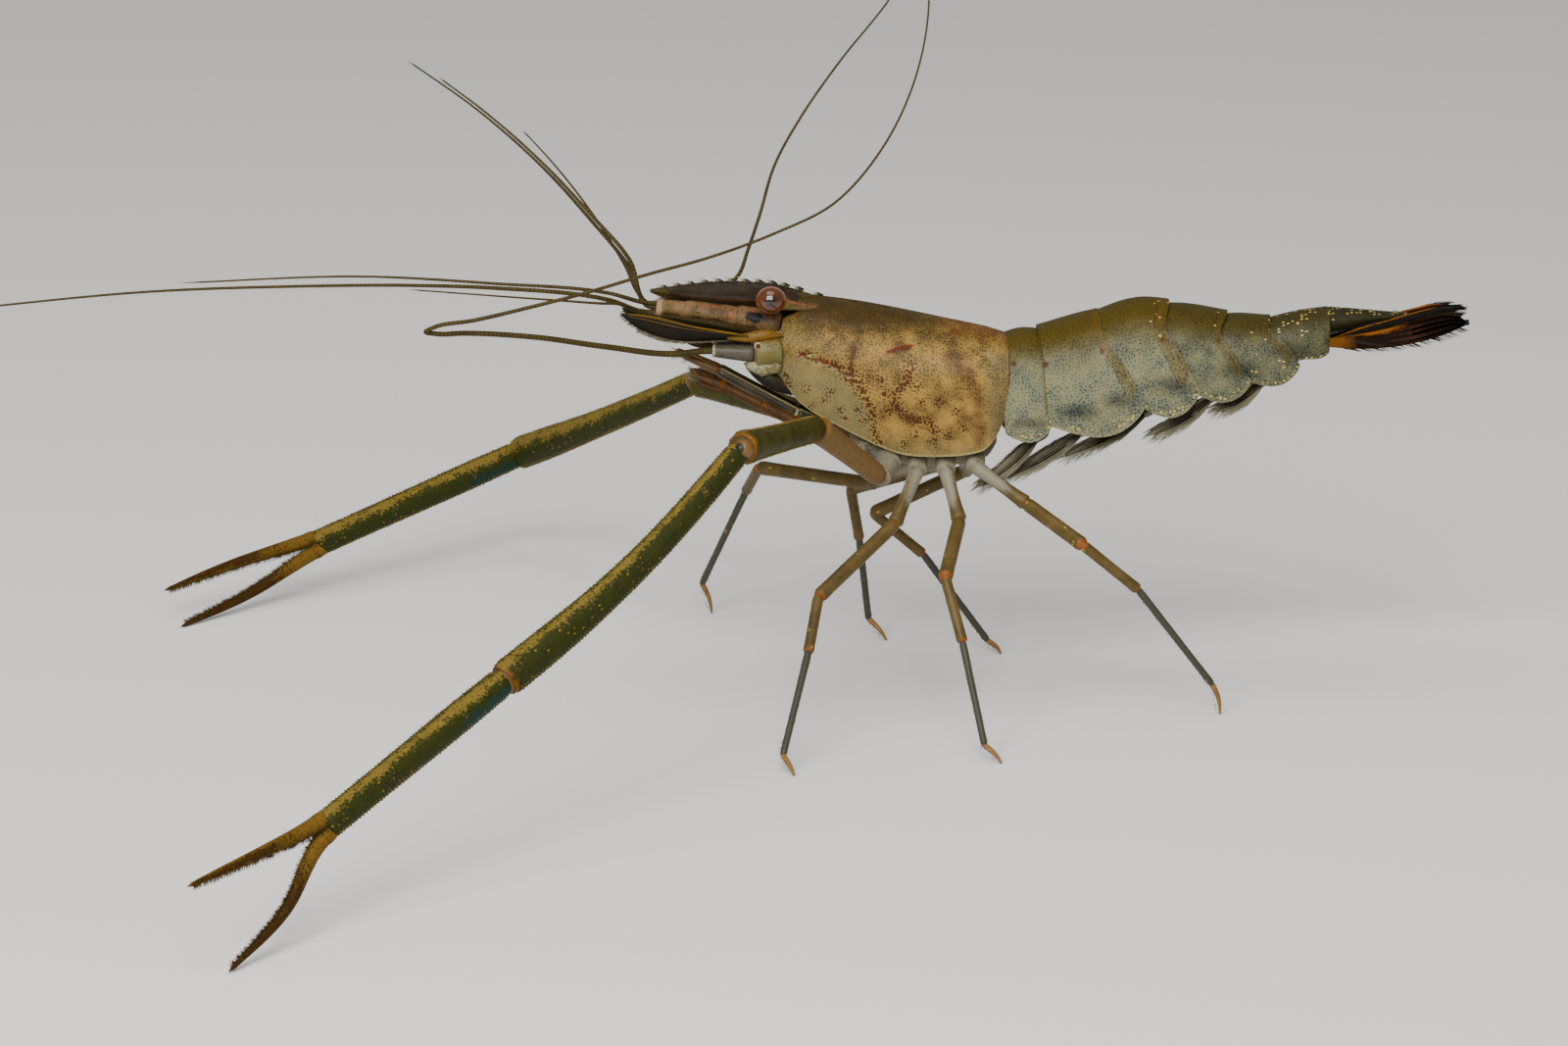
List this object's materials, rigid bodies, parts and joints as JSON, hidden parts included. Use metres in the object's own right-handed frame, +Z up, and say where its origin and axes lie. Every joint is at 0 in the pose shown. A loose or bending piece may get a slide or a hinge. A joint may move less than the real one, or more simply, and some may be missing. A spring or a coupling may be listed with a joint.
{
  "type": "oriental river prawn, still life-size model",
  "caption": "Standing river prawn with a saw-edged rostrum, ringed abdomen, tail fan, slender walking legs, long stretched pincer legs and thin curved feelers.",
  "frame": {"origin": "floor level under the middle of the whole animal's box, feelers and pincer legs included", "axes": "+X from head to tail, +Y to the animal's right side, +Z up; Z is the shortest extent"},
  "size_m": [0.1672, 0.1551, 0.0911],
  "materials": {
    "head_shell": "translucent amber shell with dark speckles",
    "abdomen_shell": "translucent grey-olive shell with fine dots",
    "eye": "glossy amber",
    "leg": "satin, pale at the hip and banded at the joints",
    "cheliped": "olive with a golden band",
    "finger": "brown, hairy on the inside",
    "feeler": "finely ringed brown",
    "fan": "dark translucent red-brown",
    "pleopod": "pale and clear"
  },
  "bodies": {
    "root": {"carapace": "head_shell", "underside": "head_shell", "eye_left": "eye", "eye_right": "eye", "eyestalk_left": "head_shell", "eyestalk_right": "head_shell", "antennule_stem_left": "head_shell", "antennule_stem_right": "head_shell", "antenna_stem_left": "head_shell", "antenna_stem_right": "head_shell", "antennal_scale_left": "fan", "antennal_scale_right": "fan", "third_maxilliped_left": "leg", "third_maxilliped_right": "leg", "antenna_feeler_1_left": "feeler", "antenna_feeler_1_right": "feeler", "antenna_feeler_2_left": "feeler", "antenna_feeler_2_right": "feeler", "antennule_feeler_inner_left": "feeler", "antennule_feeler_inner_right": "feeler", "antennule_feeler_outer_left": "feeler", "antennule_feeler_outer_right": "feeler", "abdomen_ring_1": "abdomen_shell", "abdomen_ring_2": "abdomen_shell", "abdomen_ring_3": "abdomen_shell", "abdomen_ring_4": "abdomen_shell", "abdomen_ring_5": "abdomen_shell", "abdomen_ring_6": "abdomen_shell", "telson": "abdomen_shell", "uropod_inner_left": "fan", "uropod_inner_right": "fan", "uropod_outer_left": "fan", "uropod_outer_right": "fan", "pleopod_1_left": "pleopod", "pleopod_1_right": "pleopod", "pleopod_2_left": "pleopod", "pleopod_2_right": "pleopod", "pleopod_3_left": "pleopod", "pleopod_3_right": "pleopod", "pleopod_4_left": "pleopod", "pleopod_4_right": "pleopod", "pleopod_5_left": "pleopod", "pleopod_5_right": "pleopod", "first_leg_left": "leg", "first_leg_right": "leg", "leg_3_left": "leg", "leg_3_right": "leg", "leg_4_left": "leg", "leg_4_right": "leg", "leg_5_left": "leg", "leg_5_right": "leg", "cheliped_arm_left": "cheliped", "cheliped_arm_right": "cheliped", "cheliped_carpus_left": "cheliped", "cheliped_carpus_right": "cheliped", "cheliped_palm_left": "cheliped", "cheliped_palm_right": "cheliped", "cheliped_finger_left": "finger", "cheliped_finger_right": "finger"}
  },
  "joints": []
}
